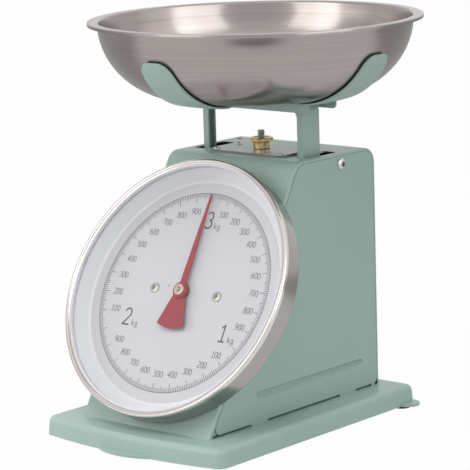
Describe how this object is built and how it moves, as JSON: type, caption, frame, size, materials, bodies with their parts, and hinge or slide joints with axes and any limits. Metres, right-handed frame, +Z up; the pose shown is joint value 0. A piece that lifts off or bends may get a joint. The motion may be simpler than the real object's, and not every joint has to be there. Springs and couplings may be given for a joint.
{
  "type": "kitchen scale",
  "caption": "Spring kitchen scale: slanted round dial with pointer on a sheet-steel housing, lift-off steel bowl in a four-armed cradle, brass zero nut on top.",
  "frame": {"origin": "centre of the overall bounding box, on the floor under the feet", "axes": "+Z up, the dial faces -Y, +X to the right as seen from the front"},
  "size_m": [0.23, 0.2686, 0.2774],
  "materials": {
    "green_paint": "satin sage green enamel",
    "bowl_steel": "brushed stainless steel",
    "bright_steel": "polished stainless steel",
    "zinc_steel": "zinc-plated steel",
    "spring_steel": "oiled spring steel",
    "brass": "turned brass",
    "dial_white": "matt white enamel",
    "pointer_red": "satin red enamel",
    "lens_clear": "clear flat glass",
    "rubber_black": "moulded rubber",
    "guide_plastic": "natural acetal"
  },
  "bodies": {
    "base": {"base_tray": "green_paint", "front_foot": "rubber_black", "rear_left_foot": "rubber_black", "rear_right_foot": "rubber_black", "housing_wrap": "green_paint", "left_side_panel": "green_paint", "right_side_panel": "green_paint", "left_side_screw": "zinc_steel", "right_side_screw": "zinc_steel", "top_plate": "green_paint", "top_screw_front_left": "zinc_steel", "top_screw_front_right": "zinc_steel", "top_screw_rear_left": "zinc_steel", "top_screw_rear_right": "zinc_steel", "dial_drum": "bright_steel", "dial_bezel": "bright_steel", "dial_lens": "lens_clear", "dial_backing": "guide_plastic", "dial_dish": "dial_white", "dial_screw_left": "zinc_steel", "dial_screw_right": "zinc_steel", "movement_bracket": "zinc_steel", "rack_guide": "guide_plastic", "front_bush": "brass", "rear_bush": "brass", "guide_rod_left": "zinc_steel", "guide_rod_right": "zinc_steel"},
    "carriage": {"load_bridge": "green_paint", "bowl_cradle": "green_paint", "cradle_rivet_left": "zinc_steel", "cradle_rivet_right": "zinc_steel", "load_carriage": "zinc_steel", "rod_bush_left": "guide_plastic", "rod_bush_right": "guide_plastic", "main_spring": "spring_steel"},
    "bowl": {"bowl": "bowl_steel"},
    "pointer": {"spindle": "zinc_steel", "pinion": "brass", "pointer": "pointer_red", "pointer_cap": "brass"},
    "rack": {"rack": "brass", "rack_pin": "zinc_steel"},
    "zero_nut": {"zero_nut": "brass"},
    "zero_stud": {"zero_stud": "zinc_steel"}
  },
  "joints": [
    {"name": "weigh_travel", "type": "slide", "parent": "base", "child": "carriage", "axis": [0, 0, -1], "range_m": [0, 0.0136], "stiffness_N_per_m": 2163, "springref_m": -0.0036, "deforming": ["main_spring"]},
    {"name": "pointer_turn", "type": "hinge", "parent": "base", "child": "pointer", "pos_m": [0, -0.05968, 0.09753], "axis": [0, 0.866, -0.5], "range_deg": [0, 360]},
    {"name": "rack_slide", "type": "slide", "parent": "base", "child": "rack", "axis": [0, -0.5, -0.866], "range_m": [0, 0.01571]},
    {"name": "bowl_lift", "type": "slide", "parent": "carriage", "child": "bowl", "axis": [0, 0, 1], "range_m": [0, 0.08]},
    {"name": "zero_turn", "type": "hinge", "parent": "base", "child": "zero_nut", "pos_m": [0, 0.022, 0.19], "axis": [0, 0, 1], "range_deg": [-540, 540]},
    {"name": "zero_lift", "type": "slide", "parent": "base", "child": "zero_stud", "axis": [0, 0, 1], "range_m": [-0.0015, 0.0015]}
  ],
  "couplings": [
    {"joint": "pointer_turn", "follows": "weigh_travel", "rad_per_m": 461.88},
    {"joint": "rack_slide", "follows": "weigh_travel", "ratio": 1.1547},
    {"joint": "zero_turn", "follows": "zero_lift", "rad_per_m": -6283.2}
  ]
}
